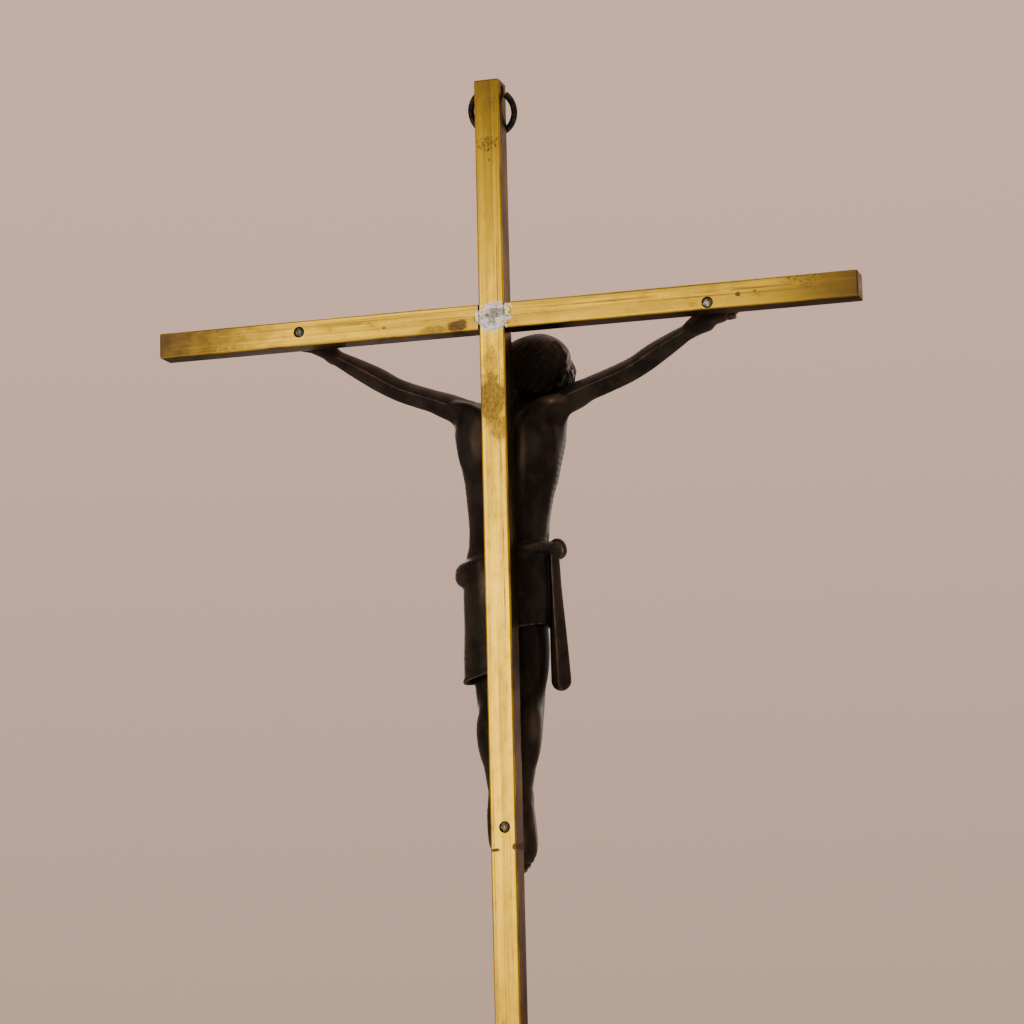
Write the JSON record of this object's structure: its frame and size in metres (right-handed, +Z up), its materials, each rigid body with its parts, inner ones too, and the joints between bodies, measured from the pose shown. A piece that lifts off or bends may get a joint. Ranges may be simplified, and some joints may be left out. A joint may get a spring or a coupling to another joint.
{
  "type": "hanging wall crucifix",
  "caption": "Slim wall cross of square brass bar, half-lapped and soldered, with a pinned cast bronze figure and a wire hanging ring.",
  "frame": {"origin": "on the plane of the bars' back faces (the wall plane), on the upright's centre line, level with the pivot of the hanging ring", "axes": "+Z up along the upright, -Y out of the front where the figure is, +X to the figure's left"},
  "size_m": [0.2216, 0.0329, 0.39],
  "materials": {
    "brass": "drawn and tarnished",
    "dark_bronze": "dark patinated cast bronze, rubbed on the high places",
    "solder": "dull soft solder",
    "pin_metal": "dull, oxidised",
    "black_wire": "blackened"
  },
  "bodies": {
    "cross": {"upright_bar": "brass", "crossbar": "brass", "crossing_solder": "solder", "corpus": "dark_bronze", "nail_left_hand": "pin_metal", "nail_right_hand": "pin_metal", "nail_feet": "pin_metal"},
    "ring": {"hanging_ring": "black_wire"}
  },
  "joints": [
    {"name": "ring_swing", "type": "hinge", "parent": "cross", "child": "ring", "pos_m": [0, -0.004, 0], "axis": [-1, 0, 0], "range_deg": [0, 310]}
  ]
}
